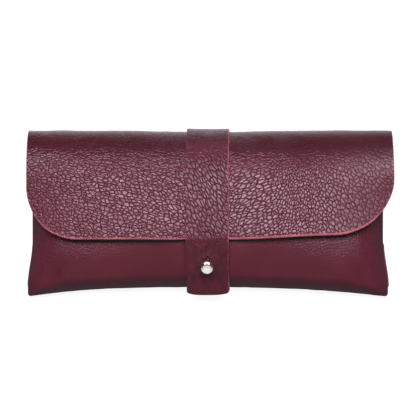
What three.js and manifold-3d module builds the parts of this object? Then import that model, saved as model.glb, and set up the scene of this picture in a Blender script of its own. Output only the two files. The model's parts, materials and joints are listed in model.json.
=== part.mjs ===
// Soft pouch glasses case with a flap, a closing strap and a ball stud, lying on its back.
// X runs across the case, Y towards the top fold and Z out of the front. Millimetres.
import * as THREE from "three";
import { mergeVertices } from "three/addons/utils/BufferGeometryUtils.js";
import Module from "manifold-3d";

const wasm = await Module();
wasm.setup();

// Driving dimensions
const LEATHER = 1.3;
const GAP = 0.3;

const POUCH_X = -1.6;
const POUCH_HALF_WIDTH = 85.3;
const CORNER_FLARE = 2.4;
const FLARE_START_Y = -15;
const FLARE_END_Y = -37;
const MOUTH_Y = 31;
const BOTTOM_Y = -36.7;
const CORNER_DROP = 4.4;
const CORNER_DROP_POWER = 3;
const RIM_Z = 3.6;
const BULGE = 25.4;
const CREST_AT = 0.42;
const CREST_ROUND = 0.62;
const MOUTH_FALL = 0.58;
const MOUTH_FALL_POWER = 1.6;
const SIDE_SHARPNESS = 6;
const SIDE_ROUND = 0.55;
const BACK_RIM_RISE = 2;
const BACK_RIM_START = 0.93;

const HINGE_Y = 37.3;
const BACK_HINGE_Z = 3.4;
const TOP_HINGE_Z = 14;
const TOP_RAMP_RISE = BACK_HINGE_Z - LEATHER;
const FOLD_BULGE = 0.5;
const FOLD_STEPS = 6;
const TOP_RAMP_START_Y = 31;

const FLAP_HALF_WIDTH = 88;
const FLAP_EDGE_Y = -12.4;
const FLAP_EDGE_Z = 30.8;
const FLAP_CURVE = 4;
const FLAP_CORNER_RADIUS = 25;
const FLAP_SIDE_DROOP = 9;
const FLAP_DROOP_POWER = 4;

const STRAP_X = -1.3;
const STRAP_WIDTH = 20.2;
const STRAP_BACK_START_Y = 6;
const STRAP_CHANNEL_DEPTH = LEATHER + GAP;
const STRAP_CHANNEL_RAMP = 4;
const STRAP_TIP_RADIUS = 2;
const STRAP_HINGE_Y = 26;
const STRAP_FOLD_TOP_Z = 13.2;
const STRAP_STEP = 3.2;
// Inner face of the strap where it leaves the flap's edge, runs down over the stud and ends in the tip, as [y, z]
const STRAP_TAIL = [
  [-12.4, 32.45],
  [-16, 31],
  [-20, 28.6],
  [-23.9, 26.27],
  [-30, 22],
  [-36, 16.5],
  [-39.6, 12.2],
];

const STUD_BASE_Y = -23.2;
const STUD_BASE_Z = 25.06;
const STUD_TILT = THREE.MathUtils.degToRad(30);
const STUD_BALL_RADIUS = 3.15;
const STUD_BALL_CENTRE = 6;
const STUD_NECK_RADIUS = 1.25;
const STUD_COLLAR_RADIUS = 3.4;
const STUD_COLLAR_TOP = 1.1;
const STUD_HOLE_RADIUS = 1.6;
const BUTTONHOLE_RADIUS = 1.9;
const SLIT_WIDTH = 0.7;
const SLIT_LENGTH = 5.4;
// Room round the ball where the buttonhole stretches open for it
const BALL_CLEARANCE = 0.35;
const BALL_WAY_LENGTH = 22;
const SCREW_RADIUS = 1.2;
const SCREW_HEAD_RADIUS = 3.2;
const WASHER_RADIUS = 4.2;
const WASHER_TOP = -2.4;
const WASHER_BOTTOM = -3.3;
const SCREW_HEAD_TOP = -3.6;
const SCREW_HEAD_BOTTOM = -4.6;

const ALLOWANCE_OUTER = 2.6;
const ALLOWANCE_WIDTH = 5.2;
const ALLOWANCE_Z = 3.7;
const ALLOWANCE_BOTTOM_Y = -33;
const ALLOWANCE_TOP_Y = 30;
const THREAD_SIZE = 0.8;
const THREAD_INSET = 5;

const STITCH_BOX_SIZE = 13;
const STITCH_BOX_Y = 17;
const STITCH_THREAD = 0.45;
const STITCH_GROOVE = 1.05;
const STITCH_GROOVE_DEPTH = 0.8;

const leather = { color: 0x5c2734, roughness: 0.5, metalness: 0 };
const thread = { color: 0x4a1420, roughness: 0.8, metalness: 0 };
const nickel = { color: 0xc9c4bc, roughness: 0.15, metalness: 1 };

const group = new THREE.Group();

function addMesh(name, geometry, finish) {
  const mesh = new THREE.Mesh(geometry, new THREE.MeshStandardMaterial(finish));
  mesh.name = name;
  group.add(mesh);
}

const { smoothstep, lerp } = THREE.MathUtils;

// Curves of the pouch

function halfWidth(y) {
  return POUCH_HALF_WIDTH + CORNER_FLARE * (1 - smoothstep(y, FLARE_END_Y, FLARE_START_Y));
}

function bottomY(x) {
  const out = Math.min(1, Math.abs(x - POUCH_X) / POUCH_HALF_WIDTH);
  return BOTTOM_Y - CORNER_DROP * out ** CORNER_DROP_POWER;
}

// Height of the pillow shape along Y: 0 at the bottom edge, 1 at the crest, lower again at the mouth
function pillowAlong(t) {
  if (t < CREST_AT) {
    return Math.sin((Math.PI / 2) * (t / CREST_AT) ** CREST_ROUND);
  }
  return 1 - MOUTH_FALL * ((t - CREST_AT) / (1 - CREST_AT)) ** MOUTH_FALL_POWER;
}

// Height of the pillow shape across X, from 1 in the middle to 0 at the side seams
function pillowAcross(u) {
  return Math.max(0, 1 - Math.abs(u) ** SIDE_SHARPNESS) ** SIDE_ROUND;
}

// A point of the front panel: u from -1 to 1 across, t from 0 at the bottom to 1 at the mouth
function frontPoint(u, t, inset) {
  const edgeX = POUCH_X + u * halfWidth(lerp(BOTTOM_Y, MOUTH_Y, t));
  const y = lerp(bottomY(edgeX) + inset, MOUTH_Y, t);
  const x = POUCH_X + u * (halfWidth(y) - inset);
  const z = RIM_Z + (BULGE - inset) * pillowAlong(t) * pillowAcross(u);
  return new THREE.Vector3(x, y, z);
}

// The flap's inner face and its outward direction, at a place along Y
function flapCurve(y) {
  const s = (y - FLAP_EDGE_Y) / (HINGE_Y - FLAP_EDGE_Y);
  const rise = FLAP_EDGE_Z - TOP_HINGE_Z;
  const z = FLAP_EDGE_Z - rise * Math.max(0, s) ** FLAP_CURVE;
  const slope = (-rise * FLAP_CURVE * Math.max(0, s) ** (FLAP_CURVE - 1)) / (HINGE_Y - FLAP_EDGE_Y);
  const out = new THREE.Vector2(-slope, 1).normalize();
  return { s, z, out };
}

// Solids

// A closed sheet between two grids of points, with its upper face towards +Z
function sheet(columns, rows, upper, lower) {
  const points = [];
  for (const at of [upper, lower]) {
    for (const row of rows) {
      for (const column of columns) {
        points.push(...at(column, row).toArray());
      }
    }
  }
  const wide = columns.length;
  const size = wide * rows.length;
  const faces = [];
  const quad = (a, b, c, d) => faces.push(a, b, c, a, c, d);
  for (let r = 0; r + 1 < rows.length; r++) {
    for (let c = 0; c + 1 < wide; c++) {
      const k = r * wide + c;
      quad(k, k + 1, k + wide + 1, k + wide);
      quad(size + k, size + k + wide, size + k + wide + 1, size + k + 1);
    }
  }
  for (let c = 0; c + 1 < wide; c++) {
    const last = size - wide + c;
    quad(c, size + c, size + c + 1, c + 1);
    quad(last, last + 1, size + last + 1, size + last);
  }
  for (let r = 0; r + 1 < rows.length; r++) {
    const left = r * wide;
    const right = left + wide - 1;
    quad(left, left + wide, size + left + wide, size + left);
    quad(right, size + right, size + right + wide, right + wide);
  }
  const geometry = new THREE.BufferGeometry();
  geometry.setAttribute("position", new THREE.Float32BufferAttribute(points, 3));
  geometry.setIndex(faces);
  return geometry;
}

// A profile in the YZ plane, carried across X
function acrossX(profile, fromX, toX) {
  const shape = new THREE.Shape(profile);
  const geometry = new THREE.ExtrudeGeometry(shape, { depth: toX - fromX, bevelEnabled: false });
  const axes = new THREE.Matrix4().makeBasis(
    new THREE.Vector3(0, 1, 0),
    new THREE.Vector3(0, 0, 1),
    new THREE.Vector3(1, 0, 0),
  );
  return geometry.applyMatrix4(axes).translate(fromX, 0, 0);
}

// A plan outline in the XY plane, carried up Z through everything
function upZ(shape, fromZ, toZ) {
  const geometry = new THREE.ExtrudeGeometry(shape, {
    depth: toZ - fromZ,
    bevelEnabled: false,
    curveSegments: 10,
  });
  return geometry.translate(0, 0, fromZ);
}

// A turned piece on the stud's axis, whose profile is [radius, height above the front panel]
function onStud(profile, segments = 24) {
  const points = profile.map(([r, h]) => new THREE.Vector2(r, h));
  const geometry = new THREE.LatheGeometry(points, segments);
  return placeOnStud(geometry);
}

function placeOnStud(geometry) {
  geometry.rotateX(Math.PI / 2 + STUD_TILT);
  return geometry.translate(STRAP_X, STUD_BASE_Y, STUD_BASE_Z);
}

function toSolid(geometry) {
  const bare = geometry.clone();
  bare.deleteAttribute("normal");
  bare.deleteAttribute("uv");
  const merged = mergeVertices(bare, 1e-4);
  const mesh = new wasm.Mesh({
    numProp: 3,
    vertProperties: Float32Array.from(merged.attributes.position.array),
    triVerts: Uint32Array.from(merged.index.array),
  });
  mesh.merge();
  return new wasm.Manifold(mesh);
}

function toGeometry(solid) {
  const mesh = solid.getMesh();
  const geometry = new THREE.BufferGeometry();
  geometry.setAttribute("position", new THREE.Float32BufferAttribute(mesh.vertProperties, 3));
  geometry.setIndex(Array.from(mesh.triVerts));
  return geometry;
}

function cut(geometry, ...tools) {
  return toGeometry(tools.reduce((solid, tool) => solid.subtract(toSolid(tool)), toSolid(geometry)));
}

function common(geometry, tool) {
  return toGeometry(toSolid(geometry).intersect(toSolid(tool)));
}

// A slab along a path in the YZ plane: its two faces are the path, moved outwards by two distances
function alongPath(path, near, far) {
  const inner = path.map(({ at, out }) => at.clone().addScaledVector(out, near));
  const outer = path.map(({ at, out }) => at.clone().addScaledVector(out, far));
  return [...inner, ...outer.reverse()];
}

// Places spaced evenly in angle, so that they lie closer together near both ends
function crowdedEnds(steps) {
  return Array.from({ length: steps + 1 }, (_, k) => -Math.cos((Math.PI * k) / steps));
}

// Places from 0 to 1 that lie closer together near 0
function crowdedStart(steps) {
  return Array.from({ length: steps + 1 }, (_, k) => (k / steps) ** 2);
}

// Stretch of path that lies on the flap's inner face, from the top hinge side down
function flapPath(fromY, toY, steps) {
  return Array.from({ length: steps + 1 }, (_, k) => {
    const y = lerp(fromY, toY, k / steps);
    const { z, out } = flapCurve(y);
    return { at: new THREE.Vector2(y, z), out };
  });
}

const STRAP_LEFT = STRAP_X - STRAP_WIDTH / 2;
const STRAP_RIGHT = STRAP_X + STRAP_WIDTH / 2;
const STRAP_LIFT_OFF_FLAP = LEATHER + GAP;

function frontPanel() {
  const shell = sheet(
    crowdedEnds(40),
    crowdedStart(20),
    (u, t) => frontPoint(u, t, 0),
    (u, t) => frontPoint(u, t, LEATHER),
  );
  const reach = 2 * LEATHER;
  const drill = new THREE.CylinderGeometry(STUD_HOLE_RADIUS, STUD_HOLE_RADIUS, 4 * reach, 16);
  return cut(shell, placeOnStud(drill));
}

function backPanel() {
  const channelEdge = (STRAP_WIDTH / 2 + GAP) / POUCH_HALF_WIDTH;
  const rampEdge = channelEdge + STRAP_CHANNEL_RAMP / POUCH_HALF_WIDTH;
  const middle = (STRAP_X - POUCH_X) / POUCH_HALF_WIDTH;
  const half = [channelEdge, rampEdge, 0.3, 0.5, 0.7, 0.85, BACK_RIM_START, 0.96, 0.98, 1];
  const onChannel = (u) => (Math.abs(u) < 0.2 ? u + middle : u);
  const columns = [...half.map((u) => -u).reverse(), ...half].map(onChannel);
  const rows = [0, 0.02, 0.045, 0.08, 0.3, 0.57, 0.64, 0.75, 0.86, 0.92, 0.96, 0.99, 1];
  const topY = HINGE_Y - GAP;
  const under = (u, t) => {
    const edgeX = POUCH_X + u * halfWidth(lerp(BOTTOM_Y, topY, t));
    const y = lerp(bottomY(edgeX), topY, t);
    const x = POUCH_X + u * halfWidth(y);
    const side = smoothstep(Math.abs(u), BACK_RIM_START, 1);
    const foot = 1 - smoothstep(t, 0, 0.08);
    const away = Math.abs(u - middle);
    const channel = (1 - smoothstep(away, channelEdge, rampEdge)) * smoothstep(y, 1, 4);
    const ramp = smoothstep(y, TOP_RAMP_START_Y, topY);
    const rim = BACK_RIM_RISE * Math.max(side, foot);
    const lift = Math.max(STRAP_CHANNEL_DEPTH * channel, TOP_RAMP_RISE * ramp);
    return new THREE.Vector3(x, y, Math.max(rim, lift));
  };
  const over = (u, t) => under(u, t).add(new THREE.Vector3(0, 0, LEATHER));
  return sheet(columns, rows, over, under);
}

function flapFront() {
  const columns = Array.from({ length: 29 }, (_, k) => lerp(-FLAP_HALF_WIDTH, FLAP_HALF_WIDTH, k / 28));
  const rows = Array.from({ length: 19 }, (_, k) => lerp(FLAP_EDGE_Y - 1, HINGE_Y - GAP, k / 18));
  const face = (offset) => (x, y) => {
    const { s, z, out } = flapCurve(y);
    const side = (Math.abs(x) / FLAP_HALF_WIDTH) ** FLAP_DROOP_POWER;
    const droop = FLAP_SIDE_DROOP * side * (1 - Math.min(1, Math.abs(s)) ** 2);
    return new THREE.Vector3(x, y + offset * out.x, z + offset * out.y - droop);
  };
  const blank = sheet(columns, rows, face(LEATHER), face(0));
  const r = FLAP_CORNER_RADIUS;
  const w = FLAP_HALF_WIDTH;
  const outline = new THREE.Shape();
  outline.moveTo(w, HINGE_Y + 5);
  outline.lineTo(-w, HINGE_Y + 5);
  outline.absarc(-w + r, FLAP_EDGE_Y + r, r, Math.PI, 1.5 * Math.PI);
  outline.absarc(w - r, FLAP_EDGE_Y + r, r, 1.5 * Math.PI, 2 * Math.PI);
  return common(blank, upZ(outline, 5, 45));
}

// Upright fold between the two hinge lines, bulging a little outwards
function foldPath(fromZ, toZ) {
  const out = new THREE.Vector2(1, 0);
  return Array.from({ length: FOLD_STEPS + 1 }, (_, k) => {
    const bulge = FOLD_BULGE * Math.sin((Math.PI * k) / FOLD_STEPS);
    return { at: new THREE.Vector2(HINGE_Y + bulge, lerp(fromZ, toZ, k / FOLD_STEPS)), out };
  });
}

function flapFold() {
  const path = foldPath(BACK_HINGE_Z + GAP, TOP_HINGE_Z - GAP);
  return acrossX(alongPath(path, LEATHER, 0), -FLAP_HALF_WIDTH + 0.5, FLAP_HALF_WIDTH - 0.5);
}

function strapFold() {
  const path = foldPath(BACK_HINGE_Z + GAP, STRAP_FOLD_TOP_Z);
  const inner = STRAP_LIFT_OFF_FLAP;
  return acrossX(alongPath(path, inner + LEATHER, inner), STRAP_LEFT, STRAP_RIGHT);
}

function strapTop() {
  const path = flapPath(HINGE_Y - GAP, STRAP_HINGE_Y, 5);
  const inner = STRAP_LIFT_OFF_FLAP;
  return acrossX(alongPath(path, inner + LEATHER, inner), STRAP_LEFT, STRAP_RIGHT);
}

// The way that the ball takes out through the strap as the leather lifts off it, turning on a hinge line
function ballWay([hingeY, hingeZ]) {
  const y = STUD_BASE_Y - STUD_BALL_CENTRE * Math.sin(STUD_TILT);
  const z = STUD_BASE_Z + STUD_BALL_CENTRE * Math.cos(STUD_TILT);
  const radius = STUD_BALL_RADIUS + BALL_CLEARANCE;
  const way = new THREE.CylinderGeometry(radius, radius, BALL_WAY_LENGTH, 24);
  way.rotateX(Math.atan2(hingeY - y, z - hingeZ));
  return way.translate(STRAP_X, y, z);
}

// The strap from its own hinge line over the flap, down over the stud, to the free tip
function strapFront() {
  const start = STRAP_HINGE_Y - GAP;
  const steps = Math.round((start - FLAP_EDGE_Y - STRAP_STEP) / STRAP_STEP);
  const onFlap = flapPath(start, FLAP_EDGE_Y + STRAP_STEP, steps);
  const lifted = onFlap.map(({ at, out }) => at.clone().addScaledVector(out, STRAP_LIFT_OFF_FLAP));
  const knots = [...lifted, ...STRAP_TAIL.map(([y, z]) => new THREE.Vector2(y, z))];
  const curve = new THREE.SplineCurve(knots);
  const count = 2 * knots.length;
  const path = Array.from({ length: count + 1 }, (_, k) => {
    const along = curve.getTangent(k / count);
    return { at: curve.getPoint(k / count), out: new THREE.Vector2(along.y, -along.x) };
  });
  const blank = acrossX(alongPath(path, LEATHER, 0), STRAP_LEFT, STRAP_RIGHT);
  const tipY = path.at(-1).at.x;
  const r = STRAP_TIP_RADIUS;
  const outline = new THREE.Shape();
  outline.moveTo(STRAP_RIGHT + 1, STRAP_HINGE_Y + 5);
  outline.lineTo(STRAP_LEFT - 1, STRAP_HINGE_Y + 5);
  outline.lineTo(STRAP_LEFT - 1, tipY + 2 * r);
  outline.lineTo(STRAP_LEFT, tipY + 2 * r);
  outline.absarc(STRAP_LEFT + r, tipY + r, r, Math.PI, 1.5 * Math.PI);
  outline.absarc(STRAP_RIGHT - r, tipY + r, r, 1.5 * Math.PI, 2 * Math.PI);
  outline.lineTo(STRAP_RIGHT, tipY + 2 * r);
  outline.lineTo(STRAP_RIGHT + 1, tipY + 2 * r);
  const rounded = common(blank, upZ(outline, 2, 45));
  const hole = placeOnStud(new THREE.CylinderGeometry(BUTTONHOLE_RADIUS, BUTTONHOLE_RADIUS, 9, 20));
  const slit = new THREE.BoxGeometry(SLIT_WIDTH, 9, SLIT_LENGTH).translate(0, 0, -SLIT_LENGTH / 2);
  const hingeLines = [
    [HINGE_Y, BACK_HINGE_Z],
    [HINGE_Y, TOP_HINGE_Z],
    [STRAP_HINGE_Y, flapCurve(STRAP_HINGE_Y).z],
  ];
  return cut(rounded, hole, placeOnStud(slit), ...hingeLines.map(ballWay));
}

function strapBack() {
  const middleX = (STRAP_LEFT + STRAP_RIGHT) / 2;
  const length = HINGE_Y - GAP - STRAP_BACK_START_Y;
  const blank = new THREE.BoxGeometry(STRAP_WIDTH, length, LEATHER);
  blank.translate(middleX, STRAP_BACK_START_Y + length / 2, LEATHER / 2);
  const groove = boxRing(STITCH_BOX_SIZE, STITCH_GROOVE, -1, STITCH_GROOVE_DEPTH);
  return cut(blank, groove);
}

// A square ring, such as a run of stitches or the groove that they lie in
function boxRing(size, width, fromZ, toZ) {
  const square = (side, Outline) => {
    const h = side / 2;
    return new Outline([
      new THREE.Vector2(STRAP_X - h, STITCH_BOX_Y - h),
      new THREE.Vector2(STRAP_X + h, STITCH_BOX_Y - h),
      new THREE.Vector2(STRAP_X + h, STITCH_BOX_Y + h),
      new THREE.Vector2(STRAP_X - h, STITCH_BOX_Y + h),
    ]);
  };
  const ring = square(size + width, THREE.Shape);
  ring.holes.push(square(size - width, THREE.Path));
  return upZ(ring, fromZ, toZ);
}

function strapStitching() {
  return boxRing(STITCH_BOX_SIZE, STITCH_THREAD, 0.03, 0.03 + STITCH_THREAD);
}

// A bar along the inside of a side seam, between two distances in from the pouch's edge
function alongSeam(side, outer, inner, fromZ, toZ) {
  const ins = side < 0 ? [outer, inner] : [inner, outer];
  const rows = Array.from({ length: 15 }, (_, k) => lerp(ALLOWANCE_BOTTOM_Y, ALLOWANCE_TOP_Y, k / 14));
  const at = (z) => (inset, y) => new THREE.Vector3(POUCH_X + side * (halfWidth(y) - inset), y, z);
  return sheet(ins, rows, at(toZ), at(fromZ));
}

function seamAllowance(side) {
  const inner = ALLOWANCE_OUTER + ALLOWANCE_WIDTH;
  return alongSeam(side, ALLOWANCE_OUTER, inner, ALLOWANCE_Z, ALLOWANCE_Z + LEATHER);
}

function seamThread(side) {
  const base = ALLOWANCE_Z + LEATHER + GAP;
  return alongSeam(side, THREAD_INSET, THREAD_INSET + THREAD_SIZE, base, base + THREAD_SIZE);
}

function ballStud() {
  const neckTop = STUD_BALL_CENTRE - Math.sqrt(STUD_BALL_RADIUS ** 2 - STUD_NECK_RADIUS ** 2);
  const start = Math.asin(STUD_NECK_RADIUS / STUD_BALL_RADIUS);
  const ball = Array.from({ length: 11 }, (_, k) => {
    const angle = lerp(start, Math.PI, k / 10);
    return [STUD_BALL_RADIUS * Math.sin(angle), STUD_BALL_CENTRE - STUD_BALL_RADIUS * Math.cos(angle)];
  });
  ball[0] = [STUD_NECK_RADIUS, neckTop];
  ball[10][0] = 0;
  return onStud([
    [0, GAP],
    [STUD_COLLAR_RADIUS, GAP],
    [STUD_COLLAR_RADIUS - 0.3, STUD_COLLAR_TOP],
    [STUD_NECK_RADIUS, STUD_COLLAR_TOP],
    ...ball,
  ]);
}

function studWasher() {
  const hole = STUD_HOLE_RADIUS;
  return onStud([
    [hole, WASHER_BOTTOM],
    [WASHER_RADIUS, WASHER_BOTTOM],
    [WASHER_RADIUS, WASHER_TOP],
    [hole, WASHER_TOP],
    [hole, WASHER_BOTTOM],
  ]);
}

function studScrew() {
  const head = onStud([
    [0, SCREW_HEAD_BOTTOM],
    [SCREW_HEAD_RADIUS, SCREW_HEAD_BOTTOM],
    [SCREW_HEAD_RADIUS, SCREW_HEAD_TOP],
    [SCREW_RADIUS, SCREW_HEAD_TOP],
    [SCREW_RADIUS, 0],
    [0, 0],
  ]);
  const slot = new THREE.BoxGeometry(0.9, 1, 2 * SCREW_HEAD_RADIUS + 1).translate(0, SCREW_HEAD_BOTTOM, 0);
  return cut(head, placeOnStud(slot));
}

addMesh("front_panel", frontPanel(), leather);
addMesh("back_panel", backPanel(), leather);
addMesh("flap_fold", flapFold(), leather);
addMesh("flap_front", flapFront(), leather);
addMesh("strap_back", strapBack(), leather);
addMesh("strap_fold", strapFold(), leather);
addMesh("strap_top", strapTop(), leather);
addMesh("strap_front", strapFront(), leather);
addMesh("strap_stitching", strapStitching(), thread);
addMesh("ball_stud", ballStud(), nickel);
addMesh("stud_screw", studScrew(), nickel);
addMesh("stud_washer", studWasher(), leather);
for (const [name, side] of [["left", -1], ["right", 1]]) {
  addMesh(`seam_allowance_${name}`, seamAllowance(side), leather);
  addMesh(`seam_thread_${name}`, seamThread(side), thread);
}

export default group;
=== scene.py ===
"""Soft pouch glasses case: leather, thread and metal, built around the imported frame.
Shapes are in millimetres, and lights and materials in metres."""

import json
import math

import bpy
import numpy as np
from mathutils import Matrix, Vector
from mathutils.kdtree import KDTree

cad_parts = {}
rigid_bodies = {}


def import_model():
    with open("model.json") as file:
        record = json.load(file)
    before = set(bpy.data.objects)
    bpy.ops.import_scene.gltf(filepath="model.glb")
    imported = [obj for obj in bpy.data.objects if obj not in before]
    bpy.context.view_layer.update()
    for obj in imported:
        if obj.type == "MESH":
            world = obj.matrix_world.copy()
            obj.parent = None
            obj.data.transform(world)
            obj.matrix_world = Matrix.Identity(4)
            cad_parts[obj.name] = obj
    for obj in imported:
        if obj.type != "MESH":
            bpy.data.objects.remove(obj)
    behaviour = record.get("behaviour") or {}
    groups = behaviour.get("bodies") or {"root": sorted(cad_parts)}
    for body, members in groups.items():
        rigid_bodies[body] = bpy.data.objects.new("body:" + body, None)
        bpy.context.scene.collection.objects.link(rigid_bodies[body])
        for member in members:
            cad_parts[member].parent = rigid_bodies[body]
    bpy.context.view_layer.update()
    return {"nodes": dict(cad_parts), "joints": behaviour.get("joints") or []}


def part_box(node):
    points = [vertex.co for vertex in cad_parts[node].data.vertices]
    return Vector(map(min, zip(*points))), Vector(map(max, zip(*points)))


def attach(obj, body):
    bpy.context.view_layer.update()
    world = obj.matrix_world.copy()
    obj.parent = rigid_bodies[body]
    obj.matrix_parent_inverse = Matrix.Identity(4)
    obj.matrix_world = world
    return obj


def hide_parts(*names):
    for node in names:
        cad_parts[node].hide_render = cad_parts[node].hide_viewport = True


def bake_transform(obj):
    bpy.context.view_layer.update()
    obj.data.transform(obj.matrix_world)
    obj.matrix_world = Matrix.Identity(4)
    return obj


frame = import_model()
MM = 0.001


# ---------------- sizes, from the frame where it has them

def node_box(node):
    low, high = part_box(node)
    return np.array(low) / MM, np.array(high) / MM


def joint_pos(name):
    found = next(j for j in frame["joints"] if j["name"] == name)
    return np.array(found["pos_m"]) / MM


FRONT_LOW, FRONT_HIGH = node_box("front_panel")
FLAP_LOW, FLAP_HIGH = node_box("flap_front")
STRAP_LOW, STRAP_HIGH = node_box("strap_front")
STRAP_BACK_LOW, _ = node_box("strap_back")
BACK_FOLD = joint_pos("back_fold")
TOP_FOLD = joint_pos("top_fold")
STRAP_LIFT = joint_pos("strap_lift")

LEATHER = 1.35
CAD_LEATHER = 1.3
GAP = 0.3

POUCH_X = (FRONT_LOW[0] + FRONT_HIGH[0]) / 2
CORNER_HALF_WIDTH = (FRONT_HIGH[0] - FRONT_LOW[0]) / 2
CORNER_FLARE = 2.4
HALF_WIDTH = CORNER_HALF_WIDTH - CORNER_FLARE
FLARE_START_Y, FLARE_END_Y = -15.0, -37.0
MOUTH_Y = FRONT_HIGH[1]
CORNER_DROP = 4.4
BOTTOM_Y = FRONT_LOW[1] + CORNER_DROP
CORNER_ROUND = 1.6
RIM_Z = FRONT_LOW[2]
BULGE = (FRONT_HIGH[2] - RIM_Z) * 0.97
CREST_AT = 0.42
FOOT_REACH, FOOT_SHARE = 7.0, 0.5
MOUTH_FALL, MOUTH_FALL_POWER = 0.58, 1.6
SIDE_SHARPNESS, SIDE_ROUND = 6.0, 0.55

FLAP_HALF_WIDTH = FLAP_HIGH[0]
FLAP_EDGE_Y = FLAP_LOW[1]
FLAP_EDGE_Z = FLAP_HIGH[2] - CAD_LEATHER
FLAP_CURVE = 4.0
FLAP_CORNER = 25.0
FLAP_CORNER_RIGHT = 29.0
FLAP_DROOP = 9.0
# How far the flap's lower edge curls up, and over what distance
CURL_LEFT, CURL_RIGHT, CURL_REACH = 3.5, 3.6, 26.0
# The middle of the flap's right end, where the grain is larger and softer
BIG_GRAIN_X, BIG_GRAIN_FAR = 75.0, 30.0
FOLD_NARROW = 0.7
FOLD_OUT_Y = BACK_FOLD[1] + 2.2
FOLD_MIDDLE_Z = (BACK_FOLD[2] + TOP_FOLD[2]) / 2
BACK_FLAT_Y = MOUTH_Y - 1.5

STRAP_X = (STRAP_LOW[0] + STRAP_HIGH[0]) / 2
STRAP_WIDTH = STRAP_HIGH[0] - STRAP_LOW[0]
STRAP_START_Y = STRAP_BACK_LOW[1]
STRAP_OVER = 1.65
STRAP_FOLD_DENT = 0.8
STRAP_TIP_ROUND = 1.3
# The strap's underside where it leaves the flap, runs over the stud and ends in the tip, as (y, z)
STRAP_TAIL = [(-12.4, 32.5), (-16.0, 31.0), (-20.0, 28.6), (-23.9, 26.27), (-30.0, 22.0),
              (-35.5, 16.6), (-39.2, 11.4)]
TIP_BOW = 0.8
STITCH_Y, STITCH_SIDE = 17.0, 13.0
# Painted shade lines down the strap's tail, where its creases fall, as (seed, place across, width, start and
# stop from the stud, darkness of the shade)
PLEAT_SHADES = [(71, 0.2, 0.6, -9.5, -4.2, 0.45), (72, -1.6, 0.6, -14, -7, 0.28), (73, 2.2, 0.5, -12, -5, 0.25),
          (74, 0.3, 0.5, 5.2, 12, 0.34), (75, -3.4, 0.6, -8, 8, 0.2), (76, 4.0, 0.6, -10, 5, 0.2),
          (77, -5.6, 0.7, -13, 2, 0.16), (78, 6.2, 0.6, -12, 9, 0.16)]

STUD_TILT = math.radians(30)
STUD_BASE = np.array([STRAP_X, -23.2, 25.06])
STUD_AXIS = np.array([0.0, -math.sin(STUD_TILT), math.cos(STUD_TILT)])
STUD_RIGHT = np.array([1.0, 0, 0])
STUD_UP = np.cross(STUD_AXIS, STUD_RIGHT)
STUD_NAME = "ball_stud_polished"
BALL_RADIUS, BALL_CENTRE = 3.35, 6.1
NECK_RADIUS = 1.1
# The collar's outline, as (height, radius)
COLLAR = [(0.25, 1.2), (0.25, 1.4), (0.32, 1.52), (0.45, 1.6),
          (0.8, 1.6), (0.93, 1.52), (1.0, 1.4), (1.06, 1.3)]

HOLE_RADIUS, HOLE_ABOVE_STUD = 1.75, 0.7
SLIT_HALF_WIDTH, SLIT_REACH, SLIT_POINT = 0.26, 4.2, 0.35

# The side seams: distances in from the pouch's side, the thread's height and ends, and its stitches
ALLOWANCE_OUTER, ALLOWANCE_INNER, SEAM_LINE = 2.6, 7.8, 5.4
SEAM_Z, SEAM_LOW_Y, SEAM_HIGH_Y = 5.25, -32.0, 28.0
STITCH_STEP, STITCH_LENGTH = 3.1, 2.5
THREAD_SIDES, THREAD_RINGS = 8, 9

# About how far apart the points of each sheet's grid are
FLAP_GRID, FOLD_GRID, BACK_GRID, STRAP_GRID = 0.8, 0.45, 0.95, 0.55
# Rounds in which a row's x and y, which depend on each other, settle
SETTLE_ROUNDS = 4

EDGE_STEPS = 4
EDGE_SWELL = 0.16
# What each point of a sheet holds, besides its place on the flat hide, which is in "pattern"
SHEET_VALUES = ("pebbles", "from_edge", "shade_and_tone", "dull")


# ---------------- small tools

def smooth(a, b, x):
    t = np.clip((x - a) / (b - a), 0, 1)
    return t * t * (3 - 2 * t)


def mix(a, b, t):
    return a + (b - a) * t


def bell(x, width):
    return np.exp(-(x / width) ** 2)


def noise(x, y, size, seed):
    """Smooth random values from -1 to 1 that change over about size millimetres."""
    count = 101
    lattice = np.random.default_rng(seed).uniform(-1, 1, (count, count))
    gx, gy = x / size + 500.0, y / size + 500.0
    ix, iy = np.floor(gx).astype(int), np.floor(gy).astype(int)
    fx, fy = gx - ix, gy - iy
    fx = fx * fx * fx * (fx * (fx * 6 - 15) + 10)
    fy = fy * fy * fy * (fy * (fy * 6 - 15) + 10)

    def at(dx, dy):
        return lattice[(ix + dx) % count, (iy + dy) % count]

    return mix(mix(at(0, 0), at(1, 0), fx), mix(at(0, 1), at(1, 1), fx), fy)


def spaced(start, stop, step):
    """Evenly spaced places from start to stop, about step apart."""
    return np.linspace(start, stop, max(2, int(round(abs(stop - start) / step)) + 1))


def with_tight_ends(places, tight):
    """The same places with one more close to each end, which keeps a cut edge crisp."""
    return np.concatenate([places[:1], [mix(places[0], places[1], tight)], places[1:-1],
                           [mix(places[-1], places[-2], tight)], places[-1:]])


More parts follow.
